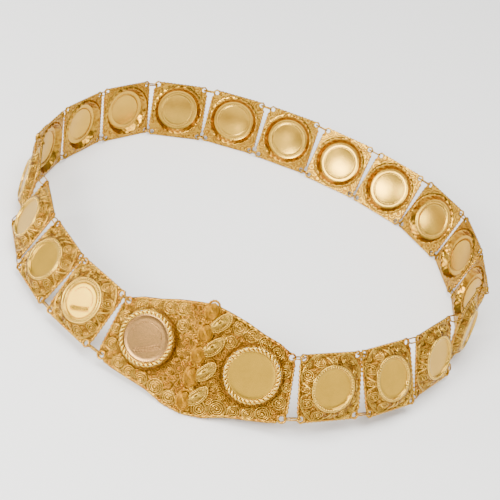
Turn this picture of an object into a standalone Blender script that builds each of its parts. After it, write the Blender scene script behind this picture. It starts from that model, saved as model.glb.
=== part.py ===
"""Waist chain: a closed ring of hinged filigree plates with set coins and a crested clasp.

Nineteen near-square plates and two larger clasp halves stand on edge in a ring. Each has a
coin in a bezel on its domed middle, and wire links join the corner eyelets of neighbours.
Units are metres, +Z is up. The clasp faces -Y.
"""

import math
from collections import namedtuple

import bmesh
import bpy
from mathutils import Matrix, Vector

MM = 0.001

# Sizes in millimetres, named for the real pieces
PITCH = 38.0            # joint to joint along the chain at mid height
SHEET = 1.0             # thickness of a plate's flat corners
HALF_WIDE = 17.3        # straight edge of a plate, from its middle
HALF_TALL = 17.7
EYELET = (15.3, 15.7)   # corner eyelet's centre
EYELET_R = 2.5
HOLE_R = 1.5
DOME_R = 16.5           # foot of the dome, hollow behind
COIN_R = 11.9           # coin with its bezel
SEAM = 0.3              # clearance between set pieces
DOME_RISE = 4.0
DOME_SHOULDER = (0.55, 0.72)    # share of the way out, and of the rise, where the dome bends
DOME_WALL = 1.0
DOME_CROWN = 0.8        # the filled dome's middle stands over its rim, and is cut away
COIN_BACK = 2.5         # heights over the sheet's middle
COIN_FACE = 3.7
BEZEL_TOP = 4.7
BEZEL_SIDE = 4.3
BEZEL_WIDE = 1.6
ROUND_STEPS = 16        # facets round a coin or dome
WIRE_R = 0.42           # link wire
LINK_HALF_HIGH = 1.9    # link loop, across the plates
LINK_SEAT = 1.3         # how far a link's soldered end sits towards the eyelet's rim
LINK_AIR = 0.5          # clearance of a loop over the neighbour's eyelet
LINK_POINTS = 8
LINK_SQUARE = 0.6       # below 1 the loop fills its corners
FLAT_TRIM = 0.25        # foot of a resting plate, filed flat

CLASP_SHEET = 1.2
CLASP_BEND = 8.0        # each half turns back from the crest, degrees
CLASP_SWEEP = 9.5       # and curves up in its own plane, from the seam to its end
CLASP_ROLL = 2.2        # the clasp's right end is held this much higher, degrees
CLASP_COIN_R = 14.1
CLASP_DOME_R = 16.0
CLASP_COIN_IN = 20.9    # coin's centre, from the half's outer end
CLASP_COIN_UP = 3.4
CLASP_LEAN = -33.0
CLASP_FORWARD = 1.8     # the clasp stands this far out of the line through the chain's ends
CLASP_RISE = 0.0
CLASP_STEPS = 18
CLASP_EYELET_IN = 2.4   # eyelet's centre, from the half's outer end
CLASP_END_SLACK = 4.6   # the chain's gap less both halves, measured straight
SEAM_HALF = 0.35        # each half's edge from the seam's middle
ROPE_STROKES = 36       # twists round a clasp coin's rope bezel
ROPE_DEPTH = 0.35

WELD = 0.01             # vertices closer than this are one
FLAT_ANGLE = 0.2        # degrees, faces this close to flat are joined
SHARP_ANGLE = 40.0      # degrees, edges over this stay sharp
HOLE_STEPS = 6

GOLD = (0.62, 0.38, 0.13, 1.0)
COIN_GOLD = (0.68, 0.46, 0.20, 1.0)

# How each plate stands: turn is its heading along the ring, lean tips its top outwards,
# rise lifts its foot off the table where the clasp carries it
Stand = namedtuple("Stand", "turn lean rise")
PLATES = (
    Stand(30, -30, 7.8),
    Stand(45, -35, 5.5),
    Stand(58, -22, 2.5),
    Stand(71, -6, 0.8),
    Stand(96, 12, 0.0),
    Stand(107, 16, 0.0),
    Stand(132, 24, 0.0),
    Stand(152, 30, 0.0),
    Stand(163, 29, 0.0),
    Stand(172, 21, 0.0),
    Stand(180, 17, 0.0),
    Stand(197, 20, 0.0),
    Stand(228, 12, 0.0),
    Stand(245, 7, 0.0),
    Stand(259, 4, 0.0),
    Stand(284, -11, 0.0),
    Stand(293, -28, 0.8),
    Stand(309, -38, 2.5),
    Stand(323, -37, 4.5),
)

# Clasp half, measured from the seam: distance along, height of the top and of the bottom edge
Section = namedtuple("Section", "along top bottom")
CLASP_SECTIONS = (
    Section(0.0, 32.5, 25.4),
    Section(9.5, 31.0, 24.3),
    Section(20.0, 28.4, 21.0),
    Section(30.5, 24.5, 19.8),
    Section(40.0, 21.4, 19.0),
)

# Crest pieces on the right half: place across and up from the seam, half sizes, turn in
# degrees, and the share by which the outline narrows towards the tip
CrestPiece = namedtuple("CrestPiece", "name across up half_wide half_tall turn taper")
CREST = (
    CrestPiece("crest_bud_1", -0.9, 29.0, 2.9, 4.4, 0, 0.05),
    CrestPiece("crest_bud_2", -0.9, 17.6, 2.9, 4.4, 0, 0.05),
    CrestPiece("crest_bud_3", -0.9, 6.2, 2.9, 4.4, 0, 0.05),
    CrestPiece("crest_bud_4", -0.9, -5.6, 2.9, 4.6, 0, 0.05),
    CrestPiece("crest_bud_5", -0.9, -17.8, 2.9, 4.2, 0, 0.05),
    CrestPiece("crest_leaf_1", 5.5, 25.0, 2.9, 5.4, -6, 0.12),
    CrestPiece("crest_leaf_2", 5.5, 12.2, 2.9, 5.4, -5, 0.12),
    CrestPiece("crest_leaf_3", 5.5, -0.8, 2.9, 5.4, -3, 0.12),
    CrestPiece("crest_leaf_4", 5.5, -13.6, 2.9, 5.0, 0, 0.12),
)
CREST_HIGH = 2.6
CREST_SEGMENTS = 10
CREST_RINGS = 6
CREST_CUT = 0.02        # height of the flat back on the unit ball that a leaf is made from


def clear_scene():
    """Remove whatever the scene holds."""
    for item in list(bpy.data.objects):
        bpy.data.objects.remove(item, do_unlink=True)


def make_material(name, colour, roughness):
    """A metal with the photo's colour."""
    material = bpy.data.materials.new(name)
    material.use_nodes = True
    shader = material.node_tree.nodes["Principled BSDF"]
    shader.inputs["Base Color"].default_value = colour
    shader.inputs["Metallic"].default_value = 1.0
    shader.inputs["Roughness"].default_value = roughness
    return material


def scratch_object(name, mesh):
    """An object for modelling steps, linked so that its modifiers evaluate."""
    item = bpy.data.objects.new(name, mesh)
    bpy.context.scene.collection.objects.link(item)
    return item


def baked(item):
    """The evaluated mesh of a scratch object, which is then removed."""
    graph = bpy.context.evaluated_depsgraph_get()
    mesh = bpy.data.meshes.new_from_object(item.evaluated_get(graph))
    mesh.transform(item.matrix_world)
    bpy.data.objects.remove(item, do_unlink=True)
    return mesh


def welded(mesh):
    """Weld the loose caps of a mesh made from a curve and face it outwards."""
    work = bmesh.new()
    work.from_mesh(mesh)
    bmesh.ops.remove_doubles(work, verts=work.verts, dist=WELD * MM)
    bmesh.ops.recalc_face_normals(work, faces=work.faces)
    work.to_mesh(mesh)
    work.free()
    return mesh


def combined(base, other, operation):
    """Boolean of two meshes."""
    body = scratch_object("body", base)
    tool = scratch_object("tool", other)
    cut = body.modifiers.new("cut", "BOOLEAN")
    cut.operation = operation
    cut.solver = "EXACT"
    cut.object = tool
    mesh = baked(body)
    bpy.data.objects.remove(tool, do_unlink=True)
    return without_extra_edges(mesh)


def without_extra_edges(mesh):
    """Join the flat slivers that a cut leaves, so that faces stay few."""
    work = bmesh.new()
    work.from_mesh(mesh)
    bmesh.ops.dissolve_limit(work, angle_limit=math.radians(FLAT_ANGLE), verts=work.verts,
                             edges=work.edges, use_dissolve_boundaries=False)
    bmesh.ops.triangulate(work, faces=[face for face in work.faces if len(face.verts) > 4])
    work.to_mesh(mesh)
    work.free()
    return mesh


def flat_slab(outline, thickness):
    """A closed outline in X and Y, extruded evenly about Z."""
    curve = bpy.data.curves.new("outline", "CURVE")
    curve.dimensions = "2D"
    curve.fill_mode = "BOTH"
    curve.extrude = thickness / 2 * MM
    line = curve.splines.new("POLY")
    line.points.add(len(outline) - 1)
    for point, (x, y) in zip(line.points, outline):
        point.co = (x * MM, y * MM, 0, 1)
    line.use_cyclic_u = True
    return without_extra_edges(welded(baked(scratch_object("outline", curve))))


def turned(profile, steps):
    """A profile of (radius, height) pairs turned about Z, down its outer side."""
    mesh = bpy.data.meshes.new("profile")
    edges = [(i, i + 1) for i in range(len(profile) - 1)]
    mesh.from_pydata([(r * MM, 0, z * MM) for r, z in profile], edges, [])
    item = scratch_object("profile", mesh)
    screw = item.modifiers.new("screw", "SCREW")
    screw.axis = "Z"
    screw.steps = steps
    screw.render_steps = steps
    screw.use_merge_vertices = True
    screw.merge_threshold = WELD * MM
    return welded(baked(item))


def cylinder(radius, depth, centre):
    """A straight cutter along Z for an eyelet's hole."""
    work = bmesh.new()
    place = Matrix.Translation(Vector((centre[0], centre[1], 0)) * MM)
    bmesh.ops.create_cone(work, cap_ends=True, segments=HOLE_STEPS, radius1=radius * MM,
                          radius2=radius * MM, depth=depth * MM, matrix=place)
    mesh = bpy.data.meshes.new("cylinder")
    work.to_mesh(mesh)
    work.free()
    return mesh


def eyelet_arc(sign_x, sign_y, centre, start=-40.0, end=130.0, count=4):
    """Outline points round a corner eyelet, from its side edge to its top or bottom edge."""
    points = []
    for i in range(count):
        angle = math.radians(start + (end - start) * i / (count - 1))
        x = centre[0] + EYELET_R * math.cos(angle)
        y = centre[1] + EYELET_R * math.sin(angle)
        points.append((sign_x * x, sign_y * y))
    return points


def plate_outline():
    """Near-square plate with an eyelet bulging at each corner, anticlockwise."""
    return (
        [(HALF_WIDE, 0)] + eyelet_arc(1, 1, EYELET)
        + [(0, HALF_TALL)] + eyelet_arc(-1, 1, EYELET)[::-1]
        + [(-HALF_WIDE, 0)] + eyelet_arc(-1, -1, EYELET)
        + [(0, -HALF_TALL)] + eyelet_arc(1, -1, EYELET)[::-1]
    )


def dome_solid(outer, inner, rise, steps):
    """The dome filled in: it grows out of the sheet at outer, with its rim round inner."""
    reach, height = DOME_SHOULDER
    profile = (
        (0, rise + DOME_CROWN),
        (inner + DOME_CROWN, rise),
        (outer * reach + inner * (1 - reach), rise * height),
        (outer, 0),
        (0, 0),
    )
    return turned(profile, steps)


def recess_solid(outer, inner, rise, steps):
    """What the hollow dome and the coin's seat take away, wider towards the back."""
    reach, height = DOME_SHOULDER
    middle = outer * reach + inner * (1 - reach) - DOME_WALL * 0.8
    above = rise + 2 * DOME_CROWN
    below = -SHEET
    profile = (
        (0, above),
        (inner, above),
        (inner, rise - DOME_WALL),
        (middle, rise * height - DOME_WALL),
        (outer - DOME_WALL, below),
        (0, below),
    )
    return turned(profile, steps)


def domed(mesh, outer, inner, steps, centre=(0, 0)):
    """A sheet with a hollow dome raised on it and the coin's seat cut through."""
    shift = Matrix.Translation(Vector((centre[0], centre[1], 0)) * MM)
    raised = dome_solid(outer, inner, DOME_RISE, steps)
    hollow = recess_solid(outer, inner, DOME_RISE, steps)
    raised.transform(shift)
    hollow.transform(shift)
    return combined(combined(mesh, raised, "UNION"), hollow, "DIFFERENCE")


def plate_mesh():
    """One regular plate: sheet, eyelet holes, round recess and hollow dome."""
    mesh = flat_slab(plate_outline(), SHEET)
    for sign_x in (-1, 1):
        for sign_y in (-1, 1):
            centre = (sign_x * EYELET[0], sign_y * EYELET[1])
            mesh = combined(mesh, cylinder(HOLE_R, 2 * SHEET, centre), "DIFFERENCE")
    return domed(mesh, DOME_R, COIN_R + SEAM, ROUND_STEPS)


def swept(point, half, side):
    """A point of the straight clasp half on the curved one, 1 for the right side, -1 left."""
    radius = half / math.radians(CLASP_SWEEP)
    x, y = point
    turned_by = x / radius
    reach = radius - y
    return side * reach * math.sin(turned_by), radius - reach * math.cos(turned_by)


def clasp_holes(half, side):
    """Upper and lower eyelet centres of a clasp half."""
    return [swept((half - CLASP_EYELET_IN, up), half, side) for up in (EYELET[1], -EYELET[1])]


def clasp_coin(half, side):
    """Centre of a clasp half's coin."""
    return swept((half - CLASP_COIN_IN, CLASP_COIN_UP), half, side)


def clasp_outline(half, side):
    """Clasp half from the seam to its eyelets. side is 1 for the right half, -1 for the left."""
    centre = (half - CLASP_EYELET_IN, EYELET[1])
    top = [(section.along, section.top) for section in CLASP_SECTIONS]
    bottom = [(section.along, -section.bottom) for section in CLASP_SECTIONS]
    points = top + eyelet_arc(1, 1, centre)[::-1] + eyelet_arc(1, -1, centre) + bottom[::-1]
    points = [swept(point, half, side) for point in points]
    return points[::-1] if side > 0 else points


def clasp_mesh(half, side):
    """One clasp half, flat sheet with a low dome round its larger coin."""
    mesh = flat_slab(clasp_outline(half, side), CLASP_SHEET)
    for centre in clasp_holes(half, side):
        mesh = combined(mesh, cylinder(HOLE_R, 2 * CLASP_SHEET, centre), "DIFFERENCE")
    return domed(mesh, CLASP_DOME_R, CLASP_COIN_R + SEAM, CLASP_STEPS, clasp_coin(half, side))


def coin_mesh(radius, steps):
    """A coin fused into its bezel, which stands up round the face."""
    profile = (
        (0, COIN_FACE),
        (radius - BEZEL_WIDE, COIN_FACE),
        (radius - BEZEL_WIDE / 2, BEZEL_TOP),
        (radius, BEZEL_SIDE),
        (radius, COIN_BACK),
        (0, COIN_BACK),
    )
    return turned(profile, steps)


def rope_coin_mesh(radius):
    """A clasp coin, whose rope bezel bulges at each twist."""
    mesh = coin_mesh(radius, ROPE_STROKES * 2)
    ridge = (COIN_FACE + BEZEL_SIDE) / 2 * MM
    for vertex in mesh.vertices:
        if vertex.co.z > ridge:
            angle = math.atan2(vertex.co.y, vertex.co.x)
            bulge = 0.5 * (math.cos(ROPE_STROKES * angle) - 1)
            vertex.co.z += bulge * ROPE_DEPTH * MM
    return mesh


def leaf_mesh(half_wide, half_tall, taper):
    """A domed leaf or bud with a flat back, narrowing towards its tip."""
    work = bmesh.new()
    bmesh.ops.create_uvsphere(work, u_segments=CREST_SEGMENTS, v_segments=CREST_RINGS,
                              radius=1.0)
    cut = bmesh.ops.bisect_plane(work, geom=work.verts[:] + work.edges[:] + work.faces[:],
                                 plane_co=(0, 0, CREST_CUT), plane_no=(0, 0, -1),
                                 clear_outer=True)
    rim = [part for part in cut["geom_cut"] if isinstance(part, bmesh.types.BMEdge)]
    bmesh.ops.contextual_create(work, geom=rim)
    bmesh.ops.recalc_face_normals(work, faces=work.faces)
    mesh = bpy.data.meshes.new("leaf")
    work.to_mesh(mesh)
    work.free()
    for vertex in mesh.vertices:
        x, y, z = vertex.co
        narrow = 1.0 - taper * y
        vertex.co = Vector((x * half_wide * narrow, y * half_tall, z * CREST_HIGH)) * MM
    return mesh


def stance(turn, lean, slope):
    """Rotation of a plate drawn with X along, Y up and Z out of its face."""
    return (
        Matrix.Rotation(math.radians(turn), 4, "Z")
        @ Matrix.Rotation(-slope, 4, "Y")
        @ Matrix.Rotation(math.radians(lean), 4, "X")
        @ Matrix.Rotation(math.radians(90), 4, "X")
    )


def lowest(mesh, matrix):
    """Height of the lowest vertex under a transform."""
    return min((matrix @ vertex.co).z for vertex in mesh.vertices)


def chain_points():
    """Joints of the chain in plan, from the clasp's right end round to its left end."""
    points = [Vector((0, 0, 0))]
    for plate in PLATES:
        heading = math.radians(plate.turn)
        step = Vector((math.cos(heading), math.sin(heading), 0)) * PITCH * MM
        points.append(points[-1] + step)
    return points


def plate_matrices(mesh):
    """World transform of each regular plate, its foot at its rise."""
    points = chain_points()
    rises = [plate.rise for plate in PLATES]
    matrices = []
    for i, (turn, lean, rise) in enumerate(PLATES):
        before = rises[max(i - 1, 0)]
        after = rises[min(i + 1, len(rises) - 1)]
        slope = math.atan2(after - before, 2 * PITCH)
        turned_to = stance(turn, lean, slope)
        trim = FLAT_TRIM if rise == 0 else 0
        middle = (points[i] + points[i + 1]) / 2
        middle.z = (rise - trim) * MM - lowest(mesh, turned_to)
        matrices.append(Matrix.Translation(middle) @ turned_to)
    return matrices


def clasp_frame():
    """Middle of the seam at mid height, the unbent clasp's rotation and a half's length."""
    points = chain_points()
    chord = points[0] - points[-1]
    turn = math.degrees(math.atan2(chord.y, chord.x))
    bend = math.radians(CLASP_BEND)
    half = (chord.length / MM - CLASP_END_SLACK) / 2 / math.cos(bend)
    rotation = stance(turn, CLASP_LEAN, 0) @ Matrix.Rotation(math.radians(CLASP_ROLL), 4, "Z")
    middle = (points[0] + points[-1]) / 2
    middle += rotation @ Vector((0, 0, half * math.sin(bend) * MM))
    middle += Vector((chord.y, -chord.x, 0)).normalized() * CLASP_FORWARD * MM
    return middle, rotation, half


def clasp_matrices(meshes):
    """World transforms of the left and the right half, standing on the seam's foot."""
    middle, rotation, half = clasp_frame()
    matrices = []
    for side in (-1, 1):
        gap = Matrix.Translation((side * SEAM_HALF * MM, 0, 0))
        fold = Matrix.Rotation(side * math.radians(CLASP_BEND), 4, "Y")
        matrices.append(rotation @ fold @ gap)
    foot = min(lowest(mesh, matrix) for mesh, matrix in zip(meshes, matrices))
    middle.z = (CLASP_RISE - FLAT_TRIM) * MM - foot
    return [Matrix.Translation(middle) @ matrix for matrix in matrices]


def link_mesh(start, end, out, next_face):
    """A wire loop from a soldered eyelet at start through the neighbour's eyelet at end.

    The loop stands higher where the neighbour is turned, to clear the rim of its eyelet.
    """
    along = (end - start).normalized()
    start = start + along * LINK_SEAT * MM
    reach = (end - start).length / 2
    out = (out - along * out.dot(along)).normalized()
    rim = EYELET_R * abs(along.dot(next_face)) + SHEET / 2 + WIRE_R + LINK_AIR
    half_high = max(LINK_HALF_HIGH, rim)
    middle = (start + end) / 2
    curve = bpy.data.curves.new("link", "CURVE")
    curve.dimensions = "3D"
    curve.bevel_depth = WIRE_R * MM
    curve.bevel_resolution = 0
    line = curve.splines.new("POLY")
    line.points.add(LINK_POINTS - 1)
    widest = math.cos(math.pi / LINK_POINTS) ** LINK_SQUARE
    for i, point in enumerate(line.points):
        angle = 2 * math.pi * (i + 0.5) / LINK_POINTS
        x = math.copysign(abs(math.cos(angle)) ** LINK_SQUARE, math.cos(angle)) / widest
        y = math.copysign(abs(math.sin(angle)) ** LINK_SQUARE, math.sin(angle))
        place = middle + along * x * reach + out * y * half_high * MM
        point.co = (*place, 1)
    line.use_cyclic_u = True
    return welded(baked(scratch_object("link", curve)))


def filed_flat(mesh, matrix):
    """Cut off what reaches below the table, leaving small flat feet."""
    back = matrix.inverted()
    work = bmesh.new()
    work.from_mesh(mesh)
    normal = back.to_3x3() @ Vector((0, 0, -1))
    cut = bmesh.ops.bisect_plane(work, geom=work.verts[:] + work.edges[:] + work.faces[:],
                                 plane_co=back @ Vector((0, 0, 0)), plane_no=normal,
                                 clear_outer=True)
    rim = [part for part in cut["geom_cut"] if isinstance(part, bmesh.types.BMEdge)]
    bmesh.ops.holes_fill(work, edges=rim)
    bmesh.ops.recalc_face_normals(work, faces=work.faces)
    result = bpy.data.meshes.new("filed")
    work.to_mesh(result)
    work.free()
    return result


def add_part(collection, name, mesh, matrix, material):
    """A named part at its place, shaded smooth with sharp edges kept."""
    mesh.name = name
    mesh.materials.clear()
    mesh.materials.append(material)
    mesh.shade_smooth()
    mesh.set_sharp_from_angle(angle=math.radians(SHARP_ANGLE))
    item = bpy.data.objects.new(name, mesh)
    item.matrix_world = matrix
    collection.objects.link(item)
    return item


def with_links(mesh, matrix, own_holes, next_matrix, next_holes):
    """A carrier plate with its links soldered on, drawn in the carrier's frame."""
    back = matrix.inverted()
    next_face = (back @ next_matrix).to_3x3() @ Vector((0, 0, 1))
    out = Vector((0, 0, 1)) + next_face
    result = mesh.copy()
    for own, other in zip(own_holes, next_holes):
        start = Vector((own[0], own[1], 0)) * MM
        end = back @ next_matrix @ (Vector((other[0], other[1], 0)) * MM)
        result = combined(result, link_mesh(start, end, out, next_face), "UNION")
    return result


def plate_holes(side):
    """Upper and lower eyelet centres at a plate's right side, or at its left for -1."""
    return ((side * EYELET[0], EYELET[1]), (side * EYELET[0], -EYELET[1]))


def build():
    """Model every part."""
    clear_scene()
    collection = bpy.data.collections.new("waist_chain")
    bpy.context.scene.collection.children.link(collection)
    gold = make_material("gold", GOLD, 0.34)
    coin_gold = make_material("coin_gold", COIN_GOLD, 0.3)

    plate = plate_mesh()
    matrices = plate_matrices(plate)
    half = clasp_frame()[2]
    clasps = [clasp_mesh(half, side) for side in (-1, 1)]
    clasp_places = clasp_matrices(clasps)

    parts = []
    left, right = clasp_places
    carriers = [("clasp_right", clasps[1], right, clasp_holes(half, 1), True)]
    for i, matrix in enumerate(matrices):
        rests = PLATES[i].rise == 0
        name = "plate_%02d" % (i + 1)
        carriers.append((name, plate, matrix, plate_holes(1), rests))
    follower_holes = [plate_holes(-1)] * len(matrices) + [clasp_holes(half, -1)]
    followers = matrices + [left]
    for carrier, next_matrix, next_holes in zip(carriers, followers, follower_holes):
        name, mesh, matrix, own_holes, rests = carrier
        solid = with_links(mesh, matrix, own_holes, next_matrix, next_holes)
        if rests:
            solid = filed_flat(solid, matrix)
        parts.append(add_part(collection, name, solid, matrix, gold))
    left_solid = filed_flat(clasps[0], left)
    parts.append(add_part(collection, "clasp_left", left_solid, left, gold))

    coin = coin_mesh(COIN_R, ROUND_STEPS)
    for i, matrix in enumerate(matrices):
        parts.append(add_part(collection, "coin_%02d" % (i + 1), coin, matrix, coin_gold))
    big_coin = rope_coin_mesh(CLASP_COIN_R)
    for name, matrix, side in (("coin_clasp_left", left, -1), ("coin_clasp_right", right, 1)):
        place = Vector((*clasp_coin(half, side), 0)) * MM
        parts.append(add_part(collection, name, big_coin, matrix @ Matrix.Translation(place),
                              coin_gold))

    for piece in CREST:
        place = Vector((piece.across, piece.up, CLASP_SHEET / 2 + SEAM)) * MM
        turn = Matrix.Rotation(math.radians(piece.turn), 4, "Z")
        mesh = leaf_mesh(piece.half_wide, piece.half_tall, piece.taper)
        parts.append(add_part(collection, piece.name, mesh,
                              right @ Matrix.Translation(place) @ turn, gold))
    centre_on_origin(parts)


def centre_on_origin(parts):
    """Shift everything so that the middle of the footprint is the origin."""
    bpy.context.view_layer.update()
    corners = [item.matrix_world @ vertex.co for item in parts for vertex in item.data.vertices]
    middle_x = (min(c.x for c in corners) + max(c.x for c in corners)) / 2
    middle_y = (min(c.y for c in corners) + max(c.y for c in corners)) / 2
    shift = Matrix.Translation((-middle_x, -middle_y, 0))
    for item in parts:
        item.matrix_world = shift @ item.matrix_world


if __name__ == "__main__":
    build()
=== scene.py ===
"""Looks of the waist chain: filigree, set coins, bezels, crest and finishes on the plates.

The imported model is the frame. Every piece is drawn in millimetres on a plate lying flat, X along
the chain, Y up and Z out of the face, and is then stood in that plate's place.
"""

import math
import random
from collections import namedtuple

import bpy
import numpy as np
from bpy.props import FloatProperty, FloatVectorProperty, IntProperty, PointerProperty
from mathutils import Matrix, Vector


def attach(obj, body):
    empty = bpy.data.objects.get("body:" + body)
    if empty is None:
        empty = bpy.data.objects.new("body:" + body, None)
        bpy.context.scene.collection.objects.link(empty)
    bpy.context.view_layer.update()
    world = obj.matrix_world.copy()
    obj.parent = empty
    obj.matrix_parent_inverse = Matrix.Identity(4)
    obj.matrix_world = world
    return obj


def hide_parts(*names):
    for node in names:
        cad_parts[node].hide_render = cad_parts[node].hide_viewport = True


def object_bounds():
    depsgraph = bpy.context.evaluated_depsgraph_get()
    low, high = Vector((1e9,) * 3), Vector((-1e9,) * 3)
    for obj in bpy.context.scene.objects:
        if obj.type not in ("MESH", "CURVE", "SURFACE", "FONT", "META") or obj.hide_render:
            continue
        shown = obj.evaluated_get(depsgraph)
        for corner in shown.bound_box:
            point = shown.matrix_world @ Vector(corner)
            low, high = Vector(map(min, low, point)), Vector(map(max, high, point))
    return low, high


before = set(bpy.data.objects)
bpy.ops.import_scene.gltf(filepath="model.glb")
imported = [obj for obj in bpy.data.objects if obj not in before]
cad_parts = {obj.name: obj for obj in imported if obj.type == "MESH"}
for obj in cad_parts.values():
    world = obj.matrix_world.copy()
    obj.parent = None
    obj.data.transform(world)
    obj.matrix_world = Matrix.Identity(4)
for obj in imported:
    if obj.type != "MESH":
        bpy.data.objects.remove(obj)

CAD_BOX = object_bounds()

bl_info = {
    "name": "Waist chain looks",
    "version": (1, 0, 0),
    "blender": (4, 5, 0),
    "location": "3D View > Sidebar > Waist chain",
    "description": "Dresses the packed waist chain with filigree, coins, bezels and a crest",
    "category": "Object",
}

MM = 0.001
BODY = "root"

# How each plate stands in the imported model: heading along the ring, lean of its top outwards,
# and lift of its foot, in degrees and millimetres
Stand = namedtuple("Stand", "turn lean rise")
PLATES = [Stand(*row) for row in (
    (30, -30, 7.8), (45, -35, 5.5), (58, -22, 2.5), (71, -6, 0.8), (96, 12, 0.0),
    (107, 16, 0.0), (132, 24, 0.0), (152, 30, 0.0), (163, 29, 0.0), (172, 21, 0.0),
    (180, 17, 0.0), (197, 20, 0.0), (228, 12, 0.0), (245, 7, 0.0), (259, 4, 0.0),
    (284, -11, 0.0), (293, -28, 0.8), (309, -38, 2.5), (323, -37, 4.5),
)]
PITCH = 38.0
CLASP_END_SLACK = 4.6
CLASP_BEND = 8.0
CLASP_SWEEP = 9.5
CLASP_ROLL = 2.2
CLASP_LEAN = -33.0

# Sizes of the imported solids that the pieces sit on
SHEET = 1.0
CLASP_SHEET = 1.2
HALF_WIDE = 17.3
HALF_TALL = 17.7
EYELET = (15.3, 15.7)
HOLE_R = 1.5
SEAT_R = 12.2
BEZEL_TOP = 4.7
COIN_FACE = 3.7
CLASP_COIN_IN = 20.9
CLASP_COIN_UP = 3.4
CLASP_EYELET_IN = 2.4

CLASP_SEAT_R = 14.5
CLASP_DOME_R = 16.0
# Radii of the coins' own fields, inside their bezels
FIELD_R = 10.3
CLASP_FIELD_R = 12.3

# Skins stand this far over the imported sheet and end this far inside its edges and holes
SKIN = 0.1
EDGE_INSET = 0.25
CLASP_EDGE_INSET = 0.3
HOLE_INSET = 0.7
# Scrolls keep this far from holes, edges and coins
HOLE_ROOM = 0.9
EDGE_ROOM = 0.5
SEAT_ROOM = 0.4
CLASP_EDGE_ROOM = 0.7
CLASP_DOME_ROOM = 0.3

# The dome's front, as radius and height over the sheet's middle
PLATE_DOME = ((12.2, 4.05), (13.0, 4.0), (14.57, 2.88), (16.5, 0.0))
CLASP_DOME = ((14.4, 4.05), (15.2, 4.0), (15.44, 2.88), (16.0, 0.0))
# The coin's back plate and the embossed bowl round it, as radius and height, from the middle out
BACK_PLATE = ((0.5, 2.3), (9.3, 2.3), (9.6, 2.2), (9.9, 2.05), (10.2, 2.2), (10.5, 2.3),
              (11.6, 2.3), (12.6, 2.15), (13.0, 2.0))
BOWL = ((13.0, 1.95), (13.6, 1.3), (14.3, 0.3), (15.0, -0.6), (15.8, -0.85), (16.9, -0.62))

# Edges of a clasp half: distance from the seam, height of the top and of the bottom edge
Section = namedtuple("Section", "along top bottom")
CLASP_SECTIONS = [Section(*row) for row in (
    (0.0, 32.5, 25.4), (9.5, 31.0, 24.3), (20.0, 28.4, 21.0), (30.5, 24.5, 19.8),
    (40.0, 21.4, 19.0),
)]

# Large scrolls of a plate's quarter: middle, outer radius, turns
Scroll = namedtuple("Scroll", "x y radius turns")
PLATE_SCROLLS = [Scroll(*row) for row in (
    (7.3, 13.9, 3.0, 2.6), (13.5, 7.5, 3.0, 2.6), (12.3, 12.5, 1.7, 1.8),
)]
PLATE_MIDDLES = [Scroll(x, y, 1.9, 1.9)
                 for x, y in ((0.0, 15.1), (14.9, 0.0), (0.0, -15.1), (-14.9, 0.0))]
# Mirror signs of a plate's four quarters
QUARTERS = ((1, 1), (1, -1), (-1, 1), (-1, -1))
# Wire that frames a quarter's scrolls, from over the bezel out to the edge and back
PLATE_ARC = ((0.9, 13.1), (3.2, 16.2), (7.3, 17.1), (10.9, 16.1), (14.4, 12.6), (16.7, 7.6),
             (16.0, 3.6), (13.2, 0.9))
# Its two wires: how far each lies inside the line, and its radius
FRAME_WIRES = ((0.0, 0.28), (0.62, 0.2))
# Radii of the small scrolls that fill a plate and a clasp half, and tries at placing each
PLATE_FILL = (1.5, 1.15, 0.85, 0.6)
PLATE_TRIES = 420
CLASP_FILL = (2.4, 1.8, 1.35, 1.0, 0.72)
CLASP_TRIES = 1500

# Large scrolls of a clasp half, measured from the seam before its ends curve up
CLASP_SCROLLS = [Scroll(*row) for row in (
    (38.6, 16.9, 3.4, 2.6), (44.4, 8.0, 2.7, 2.3), (31.2, 20.2, 2.9, 2.6),
    (23.6, 22.7, 3.3, 2.6), (16.0, 24.9, 3.3, 2.6), (13.0, 16.6, 2.9, 2.4),
    (15.4, -17.6, 3.8, 3.0), (23.4, -17.0, 2.9, 2.6), (30.4, -16.4, 2.7, 2.6),
    (37.0, -14.8, 3.2, 2.6), (44.2, -8.0, 2.9, 2.3), (46.2, 0.2, 1.9, 1.9),
    (7.4, -20.0, 3.3, 2.6),
)]

# Rings of wire: radius, height over the sheet's middle, and radius of the wire
Ring = namedtuple("Ring", "radius height wire")
BEADS = Ring(11.2, 4.35, 0.6)
BEZEL_WIRES = (Ring(10.35, 3.95, 0.3), Ring(12.0, 4.15, 0.36))
ROPE = Ring(13.35, 4.75, 0.75)
ROPE_FOOT = Ring(12.45, 3.95, 0.26)
COLLAR = Ring(1.85, 0.5, 0.36)
BACK_COLLAR = Ring(1.8, -SHEET / 2, 0.34)
CLASP_COLLAR = Ring(2.0, 0.55, 0.5)
# Twisted wire along the edges: its radius, how deep its twists are, and where it stops
# short of the eyelets
CORD = 0.85
CLASP_CORD = 0.95
CORD_DEPTH = 0.5
CORD_END = 12.9
CORD_HIGH = 0.25
CLASP_CORD_HIGH = 0.45
CLASP_CORD_IN = 0.9

# Crest on the right half: middles, half sizes of the buds, and lean of the leaves in degrees
Bud = namedtuple("Bud", "name x y half_wide half_tall")
BUDS = [Bud("crest_bud_" + name, -0.9, y, 2.9, half_tall) for name, y, half_tall in (
    ("1", 29.0, 4.4), ("2", 17.6, 4.4), ("3", 6.2, 4.4), ("4", -5.6, 4.6), ("5", -17.8, 4.2))]
Leaf = namedtuple("Leaf", "name x y")
LEAVES = [Leaf("crest_leaf_" + name, 5.5 - 1.2, y)
          for name, y in (("1", 25.0), ("2", 12.2), ("3", -0.8), ("4", -13.6))]
LEAF_LEAN = -38.0
LEAF_HALF_WIDE = 3.7
LEAF_HALF_TALL = 6.6
CREST_HIGH = 2.6
CREST_BACK = 0.9

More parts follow.
